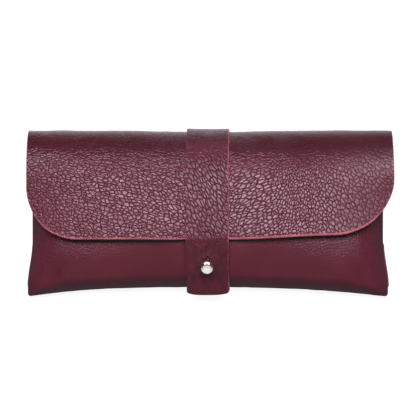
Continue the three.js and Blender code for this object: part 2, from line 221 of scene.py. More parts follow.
class Path:
    """A curve in the YZ plane, by distance along it. Its outward side is to the left of +Y, which is +Z."""

    def __init__(self, points):
        points = np.asarray(points, float)
        steps = np.linalg.norm(np.diff(points, axis=0), axis=1)
        keep = np.concatenate([[True], steps > 1e-6])
        self.points = points[keep]
        self.far = np.concatenate([[0], np.cumsum(np.linalg.norm(np.diff(self.points, axis=0), axis=1))])
        self.length = self.far[-1]

    def at(self, distance):
        y = np.interp(distance, self.far, self.points[:, 0])
        z = np.interp(distance, self.far, self.points[:, 1])
        return y, z

    def out(self, distance, reach=0.6):
        """The outward direction, taken over a short stretch to each side."""
        ya, za = self.at(np.clip(distance - reach, 0, self.length))
        yb, zb = self.at(np.clip(distance + reach, 0, self.length))
        size = np.hypot(yb - ya, zb - za)
        return -(zb - za) / size, (yb - ya) / size

    def place(self, x, far, lift):
        """Points off the curve by lift, far along it and at x."""
        y, z = self.at(far)
        out_y, out_z = self.out(far)
        return np.stack([x, y + out_y * lift, z + out_z * lift], axis=-1)

    def find_y(self, y, start=0.0):
        """The first distance after start at which the curve crosses y."""
        after = self.far >= start
        ys, far = self.points[after, 0], self.far[after]
        crossed = np.nonzero(np.diff(np.sign(ys - y)))[0][0]
        return far[crossed]


def bezier(a, b, c, d, count=60):
    t = np.linspace(0, 1, count)[:, None]
    a, b, c, d = (np.asarray(p, float) for p in (a, b, c, d))
    return a * (1 - t) ** 3 + 3 * b * t * (1 - t) ** 2 + 3 * c * t * t * (1 - t) + d * t ** 3


def spline(points, count=24):
    """A smooth curve through the points."""
    points = np.asarray(points, float)
    ends = np.vstack([2 * points[0] - points[1], points, 2 * points[-1] - points[-2]])
    t = np.linspace(0, 1, count, endpoint=False)[:, None]
    parts = []
    for k in range(len(points) - 1):
        p0, p1, p2, p3 = ends[k:k + 4]
        parts.append(0.5 * (2 * p1 + (p2 - p0) * t + (2 * p0 - 5 * p1 + 4 * p2 - p3) * t * t
                            + (3 * p1 - p0 - 3 * p2 + p3) * t ** 3))
    return np.vstack(parts + [points[-1:]])


def add_piece(name, points, faces, materials, rounded=True):
    """A new object, shaded smooth where rounded."""
    mesh = bpy.data.meshes.new(name)
    mesh.from_pydata((np.asarray(points) * MM).tolist(), [], faces)
    if rounded:
        mesh.polygons.foreach_set("use_smooth", np.ones(len(faces), bool))
    for material in materials:
        mesh.materials.append(material)
    piece = bpy.data.objects.new(name, mesh)
    bpy.context.scene.collection.objects.link(piece)
    return piece


def circle(middle, right, up, radius, sides):
    """Points round a place, from right toward up."""
    angles = [2 * math.pi * k / sides for k in range(sides)]
    return [middle + (right * math.cos(a) + up * math.sin(a)) * radius for a in angles]


def add_tube(points, faces, rings):
    """Adds the points and faces of a closed tube through rings of points."""
    base, sides = len(points), len(rings[0])
    for ring in rings:
        points.extend(ring)
    for n in range(len(rings) - 1):
        p, q = base + n * sides, base + (n + 1) * sides
        for k in range(sides):
            j = (k + 1) % sides
            faces.append((p + k, p + j, q + j, q + k))
    last = base + (len(rings) - 1) * sides
    faces.append(tuple(range(base, base + sides))[::-1])
    faces.append(tuple(range(last, last + sides)))


def attribute_kind(name):
    """An attribute's type, the name of its data and its width."""
    return ("FLOAT_VECTOR", "vector", 3) if name == "pattern" else ("FLOAT", "value", 1)


def put_attribute(mesh, name, values):
    kind, key, _ = attribute_kind(name)
    if name in mesh.attributes:
        mesh.attributes.remove(mesh.attributes[name])
    mesh.attributes.new(name, kind, "POINT").data.foreach_set(key, values.astype(np.float32).ravel())


# ---------------- sheets of leather

def unit(vectors):
    return vectors / np.maximum(np.linalg.norm(vectors, axis=-1, keepdims=True), 1e-9)


def grid_normals(points):
    return unit(np.cross(np.gradient(points, axis=1), np.gradient(points, axis=0)))


def surface_normals(surface, x, far, step=0.2):
    """Outward directions of surface(x, far), well behaved where the grid's own lines run close together."""
    across = surface(x + step, far) - surface(x - step, far)
    along = surface(x, far + step) - surface(x, np.maximum(far - step, 0))
    return unit(np.cross(across, along))


def ring_of(rows, cols):
    """Grid places round the border, anticlockwise as seen from the grain side."""
    lower = [(0, c) for c in range(cols)]
    right = [(r, cols - 1) for r in range(1, rows)]
    upper = [(rows - 1, c) for c in range(cols - 2, -1, -1)]
    left = [(r, 0) for r in range(rows - 2, 0, -1)]
    return lower + right + upper + left


def leather_sheet(name, grain, normal, pattern, grain_mask, edge_slant=None, shade_and_tone=0.0, dull=0.0):
    """A closed sheet from its grain side: rows run along the hide and columns across it, in +X.
    pattern is each point's place on the flat hide, grain_mask how high the pebbles are there, deep how much
    darker the colour is drawn, which is painted shade together with the hide's own tone, and dull how much
    rougher the finish. edge_slant(row, column) is how far the flesh side's edge stands out past the grain
    side's."""
    rows, cols = grain.shape[:2]
    size = rows * cols
    flat = grain.reshape(-1, 3)
    flesh = (grain - normal * LEATHER).reshape(-1, 3)
    ring = ring_of(rows, cols)
    index = np.array([r * cols + c for r, c in ring])
    edge = flat[index]
    along = np.roll(edge, -1, axis=0) - np.roll(edge, 1, axis=0)
    outward = unit(np.cross(along, normal.reshape(-1, 3)[index]))
    if edge_slant is not None:
        flesh[index] += outward * np.array([edge_slant(r, c) for r, c in ring])[:, None]
    shares = np.arange(1, EDGE_STEPS) / EDGE_STEPS
    between = [mix(edge, flesh[index], t) + outward * (EDGE_SWELL * math.sin(math.pi * t)) for t in shares]
    points = np.vstack([flat, flesh, *between])

    k = (np.arange(rows - 1)[:, None] * cols + np.arange(cols - 1)[None, :]).ravel()
    top = np.stack([k, k + 1, k + cols + 1, k + cols], axis=1)
    bottom = size + np.stack([k, k + cols, k + cols + 1, k + 1], axis=1)
    loops = [index] + [2 * size + n * len(ring) + np.arange(len(ring)) for n in range(EDGE_STEPS - 1)]
    loops.append(size + index)
    sides = [np.stack([a, b, np.roll(b, -1), np.roll(a, -1)], axis=1) for a, b in zip(loops, loops[1:])]
    faces = np.vstack([top, bottom, *sides])

    piece = add_piece(name, points, faces.tolist(), (GRAIN, RAW_EDGE, SUEDE))
    mesh = piece.data
    kinds = np.repeat([0, 2, 1], [len(top), len(bottom), len(faces) - len(top) - len(bottom)])
    mesh.polygons.foreach_set("material_index", kinds.astype(np.int32))
    keep_rims_crisp(mesh, index, size + index)

    def on_all(values):
        """The grid's values for the grain side, the flesh side and the cut edge between them."""
        values = values.reshape(size, -1)
        return np.vstack([values, values] + [values[index]] * (EDGE_STEPS - 1))

    depth = np.concatenate([np.zeros(size), np.ones(size), np.repeat(shares, len(ring))])
    put_attribute(mesh, "pattern", np.column_stack([on_all(pattern), depth * LEATHER]))
    for key, values in zip(SHEET_VALUES, (grain_mask, edge_distance(grain), shade_and_tone, dull)):
        put_attribute(mesh, key, on_all(np.broadcast_to(values, grain_mask.shape)))
    mesh.validate()
    mesh.update()
    return piece


def keep_rims_crisp(mesh, *rings):
    """Marks the cut's corners sharp, so the grain's shading runs on unchanged to its very edge."""
    on_ring = [set(zip(ring.tolist(), np.roll(ring, -1).tolist())) for ring in rings]
    rims = {tuple(sorted(pair)) for ring in on_ring for pair in ring}
    ends = np.zeros(len(mesh.edges) * 2, np.int32)
    mesh.edges.foreach_get("vertices", ends)
    ends = np.sort(ends.reshape(-1, 2), axis=1).tolist()
    sharp = mesh.attributes.new("sharp_edge", "BOOLEAN", "EDGE")
    sharp.data.foreach_set("value", np.array([tuple(pair) in rims for pair in ends]))


def edge_distance(grain):
    """Distance from each grid point to the nearest border, along the grid's own lines."""
    nearest = []
    for axis in (0, 1):
        steps = np.linalg.norm(np.diff(grain, axis=axis), axis=2)
        start = np.insert(np.cumsum(steps, axis=axis), 0, 0, axis=axis)
        nearest.append(np.minimum(start, np.take(start, [-1], axis=axis) - start))
    return np.minimum(*nearest)


# ---------------- materials

class Shader:
    """A node material, with short ways to add and join nodes."""

    def __init__(self, name):
        self.material = bpy.data.materials.new(name)
        self.material.use_nodes = True
        self.tree = self.material.node_tree
        self.tree.nodes.clear()
        self.output = self.tree.nodes.new("ShaderNodeOutputMaterial")
        self.bsdf = self.add("ShaderNodeBsdfPrincipled")
        self.tree.links.new(self.bsdf.outputs[0], self.output.inputs[0])

    def add(self, kind, inputs=None, **settings):
        node = self.tree.nodes.new(kind)
        for key, value in settings.items():
            setattr(node, key, value)
        for key, value in (inputs or {}).items():
            self.put(node.inputs[key], value)
        return node

    def put(self, socket, value):
        if isinstance(value, bpy.types.NodeSocket):
            self.tree.links.new(value, socket)
        elif isinstance(value, bpy.types.Node):
            self.tree.links.new(value.outputs[0], socket)
        else:
            socket.default_value = value

    def set(self, **inputs):
        for key, value in inputs.items():
            self.put(self.bsdf.inputs[key.replace("_", " ")], value)

    def math(self, operation, a, b=0.0, c=None):
        inputs = {0: a, 1: b}
        if c is not None:
            inputs[2] = c
        return self.add("ShaderNodeMath", inputs, operation=operation).outputs[0]

    def times(self, a, b, plus=None):
        return self.math("MULTIPLY", a, b) if plus is None else self.math("MULTIPLY_ADD", a, b, plus)

    def minus(self, a, b):
        return self.math("SUBTRACT", a, b)

    def clamp(self, value):
        return self.add("ShaderNodeClamp", {"Value": value}).outputs[0]

    def vector(self, operation, a, b):
        return self.add("ShaderNodeVectorMath", {0: a, 1: b}, operation=operation).outputs[0]

    def step(self, value, low, high, to_low=0.0, to_high=1.0):
        inputs = {"Value": value, "From Min": low, "From Max": high, "To Min": to_low, "To Max": to_high}
        return self.add("ShaderNodeMapRange", inputs, interpolation_type="SMOOTHSTEP").outputs[0]

    def blend(self, factor, a, b):
        node = self.add("ShaderNodeMix", data_type="RGBA")
        for socket, value in zip([s for s in node.inputs if s.enabled], (factor, a, b)):
            self.put(socket, value)
        return next(s for s in node.outputs if s.enabled)

    def scaled(self, vector, amount):
        """The vector or colour multiplied by amount."""
        node = self.add("ShaderNodeVectorMath", {0: vector}, operation="SCALE")
        self.put(node.inputs["Scale"], amount)
        return node.outputs[0]

    def noise(self, place, scale, detail=3.0, roughness=0.55):
        inputs = {"Vector": place, "Scale": scale, "Detail": detail, "Roughness": roughness}
        return self.add("ShaderNodeTexNoise", inputs)

    def cells(self, place, scale, feature="DISTANCE_TO_EDGE"):
        inputs = {"Vector": place, "Scale": scale}
        return self.add("ShaderNodeTexVoronoi", inputs, voronoi_dimensions="2D", feature=feature)

    def dome(self, distance, reach):
        """A rounded top that falls to 0 at the cell's edge."""
        share = self.clamp(self.math("DIVIDE", distance, reach))
        return self.times(share, self.minus(2.0, share))

    def attribute(self, name):
        return self.add("ShaderNodeAttribute", attribute_name=name)

    def bump(self, height, distance):
        inputs = {"Height": height, "Distance": distance, "Strength": 1.0}
        return self.add("ShaderNodeBump", inputs).outputs[0]


def rgb(red, green, blue):
    return (red, green, blue, 1.0)


PEBBLES_PER_MM, ROLLS_PER_MM, GRAINS_PER_MM = 0.7, 0.2, 1.1
PEBBLE_HEIGHT = 0.00036


def wrinkles(s, place):
    """Long faint lines that run across the left of the flap, a little downward."""
    sizes = {"Vector": place, "Rotation": (0, 0, math.radians(-17)), "Scale": (52, 5.5, 1)}
    along = s.add("ShaderNodeMapping", sizes, vector_type="TEXTURE")
    from_line = s.math("ABSOLUTE", s.minus(s.noise(along, 1.0, 3.0, 0.45), 0.5))
    line = s.clamp(s.minus(1.0, s.times(from_line, 12.0)))
    across = s.add("ShaderNodeSeparateXYZ", {0: place}).outputs["X"]
    return s.times(line, s.step(across, -22.0, 10.0, 1.0, 0.15))


def pebbled_leather():
    """Full-grain burgundy leather: domed pebbles of about 1.5 mm between creases, in larger rolls."""
    s = Shader("pebbled_leather")
    place = s.attribute("pattern").outputs["Vector"]
    mask, from_edge, shade_and_tone, dull = (s.attribute(name).outputs["Fac"] for name in SHEET_VALUES)
    wander = s.noise(place, 0.32, 3.0).outputs["Color"]
    warped = s.vector("ADD", place, s.scaled(s.vector("SUBTRACT", wander, (0.5, 0.5, 0.5)), 2.2))
    edge = s.dome(s.cells(warped, PEBBLES_PER_MM).outputs["Distance"], 0.26)
    whole = s.cells(warped, PEBBLES_PER_MM, "F1")
    which = s.add("ShaderNodeSeparateColor", {"Color": whole.outputs["Color"]})
    round_top = s.minus(1.0, s.math("POWER", s.math("DIVIDE", whole.outputs["Distance"], 0.72), 2.0))
    dome = s.times(round_top, 0.3, s.times(edge, 0.7))
    swell = s.dome(s.cells(warped, ROLLS_PER_MM).outputs["Distance"], 0.3)
    tiny = s.dome(s.cells(warped, GRAINS_PER_MM).outputs["Distance"], 0.34)
    depth = s.step(s.noise(place, 0.42, 2.0), 0.3, 0.65, 0.78, 1.0)
    height = s.times(s.times(dome, s.times(which, 0.2, 0.8)), depth)
    parts = [(swell, 0.14), (s.times(tiny, dome), 0.05), (s.noise(place, 0.4, 1.0), 0.2)]
    for part, share in parts + [(wrinkles(s, warped), -0.4)]:
        height = s.times(part, share, height)
    height = s.times(s.noise(place, 4.5, 3.0), 0.04, s.times(height, mask))

    blotch = s.noise(place, 0.035, 3.0)
    mottle = s.noise(place, 0.9, 2.0)
    tone = s.blend(s.step(blotch, 0.35, 0.65), rgb(0.097, 0.0090, 0.0212), rgb(0.113, 0.0118, 0.0252))
    tone = s.blend(s.step(mottle, 0.3, 0.75, 0.0, 0.3), tone, rgb(0.127, 0.0145, 0.0300))
    # Painted shade: the creases between the pebbles are drawn darker, as shade falls in them
    crease = s.times(s.minus(1.0, edge), mask)
    tone = s.blend(s.times(crease, 0.75), tone, rgb(0.045, 0.0032, 0.0095))
    tone = s.blend(s.step(from_edge, 0.1, 0.7, 0.2, 0.0), tone, rgb(0.2, 0.04, 0.055))
    # Colour drawn darker where the pebbles are low, and darker again by the sheet's painted shade and own
    # tone
    tone = s.scaled(tone, s.minus(s.times(mask, 0.16, 0.84), shade_and_tone))
    polish = s.step(mottle, 0.2, 0.8, 0.35, 0.43)
    polish = s.times(shade_and_tone, -0.2, s.times(crease, 0.2, polish))
    polish = s.times(mask, 0.06, s.minus(s.math("ADD", dull, polish), 0.05))
    s.set(Base_Color=tone, Roughness=polish, Normal=s.bump(height, PEBBLE_HEIGHT), Specular_IOR_Level=0.7)
    return s.material


def raw_edge():
    """Cut edge of the hide: the red-dyed fibres."""
    s = Shader("raw_edge")
    place = s.attribute("pattern").outputs["Vector"]
    fibres = s.noise(place, 3.2, 4.0, 0.7).outputs[0]
    patches = s.noise(place, 0.25, 3.0).outputs[0]
    tone = s.blend(s.step(fibres, 0.3, 0.7), rgb(0.56, 0.11, 0.14), rgb(0.9, 0.3, 0.34))
    tone = s.blend(s.step(patches, 0.35, 0.65, 0.0, 0.4), tone, rgb(0.24, 0.045, 0.06))
    s.set(Base_Color=tone, Roughness=0.8, Normal=s.bump(fibres, 0.00012))
    return s.material


def suede():
    """Flesh side of the hide, napped."""
    s = Shader("suede")
    place = s.attribute("pattern").outputs["Vector"]
    nap = s.noise(place, 2.2, 5.0, 0.7).outputs[0]
    patches = s.noise(place, 0.12, 3.0).outputs[0]
    tone = s.blend(s.step(patches, 0.3, 0.7), rgb(0.2, 0.03, 0.05), rgb(0.29, 0.05, 0.075))
    tone = s.blend(s.step(nap, 0.3, 0.7, 0.0, 0.5), tone, rgb(0.16, 0.022, 0.04))
    s.set(Base_Color=tone, Roughness=0.92, Normal=s.bump(nap, 0.0002), Sheen_Weight=0.35, Sheen_Roughness=0.5)
    return s.material


def waxed_thread():
    s = Shader("waxed_thread")
    place = s.add("ShaderNodeTexCoord").outputs["Object"]
    ply = s.add("ShaderNodeTexWave", {"Vector": place, "Scale": 900.0, "Distortion": 1.5},
                bands_direction="DIAGONAL").outputs["Fac"]
    tone = s.blend(ply, rgb(0.055, 0.01, 0.016), rgb(0.15, 0.03, 0.045))
    s.set(Base_Color=tone, Roughness=0.55, Normal=s.bump(ply, 0.00006))
    return s.material


def polished_nickel():
    s = Shader("polished_nickel")
    place = s.add("ShaderNodeTexCoord").outputs["Object"]
    haze = s.noise(place, 1400.0, 2.0).outputs[0]
    s.set(Base_Color=rgb(0.9, 0.86, 0.81), Roughness=s.step(haze, 0.3, 0.7, 0.15, 0.23), Metallic=1.0)
    return s.material


def plain_floor():
    """White paper, which throws less light back up than it shows, but for a band behind the case."""
    s = Shader("floor")
    s.set(Base_Color=rgb(0.2, 0.2, 0.2), Roughness=0.9, Specular_IOR_Level=0.1,
          Emission_Color=rgb(1, 1, 1), Emission_Strength=0.9)
    y = s.add("ShaderNodeSeparateXYZ", {0: s.add("ShaderNodeTexCoord").outputs["Object"]}).outputs["Y"]
    behind = s.times(s.step(y, 0.02, 0.04), s.step(y, 0.055, 0.1, 1.0, 0.0))
    tone = s.blend(behind, rgb(0.12, 0.12, 0.12), rgb(0.85, 0.85, 0.85))
    dim = s.add("ShaderNodeBsdfDiffuse", {"Color": tone})
    seen = s.add("ShaderNodeLightPath").outputs["Is Camera Ray"]
    both = s.add("ShaderNodeMixShader", {0: seen, 1: dim, 2: s.bsdf})
    s.tree.links.new(both.outputs[0], s.output.inputs[0])
    return s.material


GRAIN = pebbled_leather()
RAW_EDGE = raw_edge()
SUEDE = suede()
THREAD = waxed_thread()
NICKEL = polished_nickel()


# ---------------- the hide's curve, from the flap's edge to the bottom

def flap_curve(y):
    """The flap's flesh side over Y, and which way is out."""
    s = np.maximum(0, (y - FLAP_EDGE_Y) / (TOP_FOLD[1] - FLAP_EDGE_Y))
    rise = FLAP_EDGE_Z - TOP_FOLD[2]
    z = FLAP_EDGE_Z - rise * s ** FLAP_CURVE
    slope = -rise * FLAP_CURVE * s ** (FLAP_CURVE - 1) / (TOP_FOLD[1] - FLAP_EDGE_Y)
    size = np.hypot(slope, 1)
    return z, -slope / size, 1 / size


def hide_path():
    y = np.linspace(FLAP_EDGE_Y, MOUTH_Y + 2, 240)
    z, out_y, out_z = flap_curve(y)
    flap = np.column_stack([y + out_y * LEATHER, z + out_z * LEATHER])
    end = flap[-1]
    ahead = unit(end - flap[-2])
    fold = np.array([FOLD_OUT_Y, FOLD_MIDDLE_Z])
    top = bezier(end, end + ahead * 4.4, fold + (0, 5.0), fold)
    turn = np.linspace(0, math.pi / 2, 60)
    reach = FOLD_OUT_Y - BACK_FLAT_Y
    low = np.column_stack([BACK_FLAT_Y + reach * np.cos(turn), FOLD_MIDDLE_Z * (1 - np.sin(turn))])
    back = np.column_stack([np.linspace(BACK_FLAT_Y, BOTTOM_Y - CORNER_DROP, 100), np.zeros(100)])
    return Path(np.vstack([flap, top, low, back]))


HIDE = hide_path()
FOLD_AT = HIDE.far[np.argmin(np.hypot(HIDE.points[:, 0] - FOLD_OUT_Y, HIDE.points[:, 1] - FOLD_MIDDLE_Z))]
BACK_AT = HIDE.find_y(BACK_FLAT_Y, FOLD_AT)


def near_strap(x, width):
    return bell(x - STRAP_X, width)


def fold_dent(x, far):
    """How far the strap presses the fold in."""
    on_fold = smooth(FOLD_AT - 26, FOLD_AT - 4, far) * (1 - smooth(FOLD_AT + 4, BACK_AT, far))
    return STRAP_FOLD_DENT * near_strap(x, 26) * on_fold


# ---------------- flap

def flap_relief(x, far):
    """How far the flap stands off its plain curve."""
    side = np.abs(x) / FLAP_HALF_WIDTH
    open_part = 1 - smooth(8, FOLD_AT - 4, far)
    droop = -FLAP_DROOP * side ** 4 * open_part
    away = 1 - near_strap(x, 20)
    curl = (1 - smooth(0, CURL_REACH, far)) ** 1.5 * away * np.where(x > 0, CURL_RIGHT, CURL_LEFT)
    wave = 0.4 * noise(x, far, 34, 11) * smooth(FOLD_AT + 2, FOLD_AT - 14, far) * away
    ripple = 0.13 * noise(x, far, 9, 12) + 0.05 * noise(x, far, 3.6, 13)
    edge_wave = 0.35 * noise(x, far, 13, 14) * (1 - smooth(0, 9, far)) * away
    return droop + curl + wave + ripple + edge_wave


def flap_lift(x, far):
    return flap_relief(x, far) - fold_dent(x, far)


def flap_surface(x, far):
    return HIDE.place(x, far, flap_lift(x, far))


def make_flap():
    turn = np.linspace(0, math.pi / 2, 34)
    corner = FLAP_CORNER * (1 - np.cos(turn))
    straight = spaced(FLAP_CORNER, FOLD_AT, FLAP_GRID)
    far = np.concatenate([corner, straight[1:]])
    across = with_tight_ends(spaced(-1, 1, FLAP_GRID / FLAP_HALF_WIDTH), 0.25)
    radius = np.where(across > 0, FLAP_CORNER_RIGHT, FLAP_CORNER)[None, :]
    inside = np.clip(radius - far[:, None], 0, radius)
    x = across * (FLAP_HALF_WIDTH - radius + np.sqrt(radius ** 2 - inside ** 2))
    far = np.broadcast_to(far[:, None], x.shape).copy()
    x = x - FOLD_NARROW * smooth(22, FOLD_AT, far) * smooth(0, FLAP_HALF_WIDTH, x)
    rise = 2.4 * smooth(10, 62, x) * (1 - smooth(0, 46, far))
    rise += 0.22 * (1 + noise(x, x * 0, 17, 15)) * (1 - smooth(0, 10, far))
    far = np.minimum(far + rise, FOLD_AT)
    grain = flap_surface(x, far)
    normal = surface_normals(flap_surface, x, far)
    along, up = flow(x, far)
    grow = 0.3 * smooth(25, 75, x)
    pattern = np.stack([along - grow * (x - BIG_GRAIN_X), up - grow * (far - BIG_GRAIN_FAR)], axis=-1)
    band = smooth(FOLD_AT - 36, FOLD_AT - 12, far)
    by_side = smooth(44, 74, x)
    mask = (1.0 - 0.8 * band) * (1 - 0.25 * by_side)
    dull = 0.035 * mask + 0.12 * by_side
    # Painted shade on the band below the fold and, a little, on the flap's right end, where they turn from
    # the light
    shade_and_tone = 0.38 * smooth(FOLD_AT - 31, FOLD_AT - 13, far) + 0.04 * by_side

    def slant(r, c):
        if r >= x.shape[0] - 2:
            return 0.0
        low = 1 - smooth(4, 26, far[r, c])
        return mix(0.25, 1.0, low) if x[r, c] > 0 else mix(0.0, 0.9, low)

    piece = leather_sheet("flap_leather", grain, normal, pattern, mask, slant, shade_and_tone, dull)
    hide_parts("flap_front")
    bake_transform(piece)


def stretched(x, y, degrees, share):
    """Places on the hide drawn together along a direction, which draws the pebbles out along it."""
    turn = np.radians(degrees)
    along = x * np.cos(turn) + y * np.sin(turn)
    return -share * along * np.cos(turn), -share * along * np.sin(turn)


def flow(x, far):
    """Place on the hide for the grain, which was pulled out sideways, and upward beside the strap."""
    right = smooth(STRAP_X - 4, STRAP_X + 4, x)
    near = bell(x - STRAP_X - 26, 38) * right
    left = stretched(x + 50, far - 20, -20, 0.4 * (1 - right))
    pulled = stretched(x - STRAP_X - 24, far - 14, 27, 0.52 * near)
    rest = stretched(x - 66, far - 20, -22, 0.28 * smooth(30, 60, x))
    return x + left[0] + pulled[0] + rest[0], far + left[1] + pulled[1] + rest[1]


# ---------------- pouch

def body_half_width(y):
    return HALF_WIDTH + CORNER_FLARE * (1 - smooth(FLARE_END_Y, FLARE_START_Y, y))


def bottom_edge(x):
    """The pouch's lower edge, which dips toward its rounded corners."""
    aside = np.abs(x - POUCH_X)
    side = np.minimum(aside / HALF_WIDTH, 1.03)
    corner = np.maximum(0, aside - (CORNER_HALF_WIDTH - CORNER_ROUND))
    inside = np.minimum(corner, CORNER_ROUND)
    round_off = CORNER_ROUND - np.sqrt(CORNER_ROUND ** 2 - inside ** 2)
    return BOTTOM_Y - CORNER_DROP * side ** np.where(x > POUCH_X, 2.4, 3.0) + round_off


def front_height(x, y):
    """The front's bulge above its rim."""
    low = bottom_edge(x)
    t = np.clip((y - low) / (MOUTH_Y - low), 0, 1)
    u = np.clip(np.abs(x - POUCH_X) / body_half_width(y), 0, 1)
    foot = np.clip((y - low) / FOOT_REACH, 0, 1)
    rising = mix(np.sin(math.pi / 2 * np.minimum(t / CREST_AT, 1)), np.sqrt(1 - (1 - foot) ** 2), FOOT_SHARE)
    falling = 1 - MOUTH_FALL * np.maximum(0, (t - CREST_AT) / (1 - CREST_AT)) ** MOUTH_FALL_POWER
    return BULGE * rising * falling * (1 - u ** SIDE_SHARPNESS) ** SIDE_ROUND


def front_relief(x, y):
    """The front's sag between its corners, the fold in each lower corner and fine unevenness."""
    aside = np.abs(x - POUCH_X)
    t = (y - bottom_edge(x)) / (MOUTH_Y - bottom_edge(x))
    inner = smooth(0, 0.14, t) * (1 - smooth(0.9, 1.0, aside / body_half_width(y)))
    calm = 1 - np.exp(-((x - STRAP_X) ** 2 + (y - STUD_BASE[1]) ** 2) / 81)
    sag = 0.75 * noise(x, y * 1.4, 38, 21) + 0.28 * noise(x * 1.3, y * 0.6, 15, 22)
    fine = 0.06 * noise(x, y, 4.2, 23)
    corner = bell(aside - 76, 9) * bell(y + 30, 8)
    fold = -0.9 * corner * np.cos((aside - 74 + (y + 30) * 0.7) / 3.4)
    return (sag * calm + fold) * inner + fine


def make_front():
    """The front of the pouch: crowned, its foot and sides rolled in over the back."""
    u = np.sin(math.pi / 2 * np.linspace(-1, 1, 272))
    t = (1 - np.cos(math.pi / 2 * np.linspace(0, 1, 104)))[:, None]
    x = np.broadcast_to(POUCH_X + u[None, :] * HALF_WIDTH, (len(t), len(u))).copy()
    for _ in range(SETTLE_ROUNDS):
        y = bottom_edge(x) + t * (MOUTH_Y - bottom_edge(x))
        x = POUCH_X + u[None, :] * body_half_width(y)
    y = bottom_edge(x) + t * (MOUTH_Y - bottom_edge(x))
    z = RIM_Z + front_height(x, y)
    smoothed = np.stack([x, y, z], axis=-1)
    normal = grid_normals(smoothed)
    grain = smoothed + normal * front_relief(x, y)[..., None]
    tuck = np.exp(-(z - RIM_Z) / 1.1)
    grain[..., 0] -= np.sign(x - POUCH_X) * 0.2 * tuck * smooth(0.8, 1, np.abs(u))[None, :]
    grain[..., 1] += 0.3 * tuck * (1 - smooth(0, 0.1, t))
    steps = np.linalg.norm(np.diff(smoothed, axis=0), axis=2)
    far = np.vstack([np.zeros((1, len(u))), np.cumsum(steps, axis=0)])
    pattern = np.stack([x + 400, far], axis=-1)
    by_corner = bell(np.abs(x - POUCH_X) - 58, 22) * bell(y + 16, 8)
    mask = 0.12 + 0.3 * by_corner + 0.25 * smooth(0.86, 0.99, np.abs(u))[None, :] + 0.35 * smooth(-4, 8, y)
    mask = np.clip(mask, 0, 1)
    dull = 0.16 * smooth(0.15, 0.5, mask)
    piece = leather_sheet("front_leather", grain, grid_normals(grain), pattern, mask, dull=dull)
    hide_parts("front_panel")
    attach(piece, "pouch")
    return piece, float(far[-1].mean())


def back_lift(x, y, far):
    """How far the back stands in from the flat surface it rests on: rim, foot and the strap's channel."""
    side = np.abs(x - POUCH_X) / body_half_width(y)
    below_mouth = 1 - smooth(MOUTH_Y - 8, MOUTH_Y + 3, y)
    rim = 2.0 * np.clip((side - 0.93) / 0.07, 0, 1) ** 2 * below_mouth
    foot = 2.0 * np.clip(1 - (y - bottom_edge(x)) / 5.5, 0, 1) ** 2
    in_strap = 1 - smooth(0, 4, np.abs(x - STRAP_X) - STRAP_WIDTH / 2 - 0.2)
    channel = (LEATHER + GAP) * in_strap * smooth(STRAP_START_Y - 5, STRAP_START_Y - 1, y)
    sag = 0.1 * (1 + noise(x, y, 22, 31)) * np.clip(1 - side, 0, 0.2) * 5
    on_back = smooth(BACK_AT - 3, BACK_AT + 3, far)
    return np.maximum(np.maximum(rim, foot), channel * on_back) + sag * on_back


def make_back():
    """The lower half of the fold and the back, in one with the flap."""
    turn = spaced(FOLD_AT, BACK_AT, FOLD_GRID)
    v = spaced(0, 1, BACK_GRID / (BACK_FLAT_Y - BOTTOM_Y))
    across = np.sin(math.pi / 2 * np.linspace(-1, 1, 236))
    at_fold_x = across * FLAP_HALF_WIDTH - FOLD_NARROW * smooth(0, 1, across)
    rows = []
    for far in turn:
        rows.append((at_fold_x, np.full(len(across), far)))
    for share in v[1:]:
        x = POUCH_X + across * HALF_WIDTH
        for _ in range(SETTLE_ROUNDS):
            y = mix(BACK_FLAT_Y, bottom_edge(x), share)
            at_fold = smooth(MOUTH_Y - 16, BACK_FLAT_Y, y)
            x = mix(POUCH_X + across * body_half_width(y), at_fold_x, at_fold)
        rows.append((x, BACK_AT + BACK_FLAT_Y - mix(BACK_FLAT_Y, bottom_edge(x), share)))
    x = np.array([row[0] for row in rows])
    far = np.array([row[1] for row in rows])
    y, _ = HIDE.at(far)
    inward = back_lift(x, y, far) + fold_dent(x, far)
    near_fold = 1 - smooth(FOLD_AT + 2, BACK_AT, far)
    grain = HIDE.place(x, far, flap_lift(x, far) * near_fold - inward * (1 - near_fold))
    grain[..., 2] = np.maximum(grain[..., 2], 0.0)
    pattern = np.stack(flow(x, far), axis=-1)
    mask = 0.25 + 0.3 * (1 + noise(x, far, 30, 32)) * (1 - near_fold * 0.6)

    def slant(r, c):
        return 0.45 if c == x.shape[1] - 1 and far[r, c] > BACK_AT + 8 else 0.0

    piece = leather_sheet("back_leather", grain, grid_normals(grain), pattern, np.clip(mask, 0, 1), slant)
    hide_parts("back_panel", "flap_fold")
    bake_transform(piece)


def strip(name, low_x, high_x, seed):
    """A seam allowance turned in along the side of the pouch, flesh side out."""
    y = spaced(30.0, -33.0, 1.2)
    x = np.linspace(low_x, high_x, 7)
    gx, gy = np.meshgrid(x, y)
    gx = gx + 0.25 * noise(gy, gx * 0, 11, seed)
    gz = 3.72 + 0.12 * (1 + noise(gx, gy, 7, seed + 1))
    grain = np.stack([gx, gy, gz], axis=-1)
    pattern = np.stack([gx + 600, gy], axis=-1)
    return leather_sheet(name, grain, grid_normals(grain), pattern, np.full(gx.shape, 0.2))


def thread_run(name, stitches, radius, rise, up):
    """Stitches between pairs of places, each bowed toward up."""
    points, faces = [], []
    up = np.asarray(up, float)
    for a, b in stitches:
        a, b = np.asarray(a, float), np.asarray(b, float)
        across = np.cross((b - a) / np.linalg.norm(b - a), up)
        rings = []
        for t in np.linspace(0, 1, THREAD_RINGS):
            middle = mix(a, b, t) + up * rise * math.sin(math.pi * t)
            thick = radius * (0.55 + 0.45 * math.sin(math.pi * min(max(t, 0.06), 0.94)) ** 0.4)
            rings.append(circle(middle, across, up, thick, THREAD_SIDES))
        add_tube(points, faces, rings)
    piece = add_piece(name, points, faces, [THREAD])
    return piece


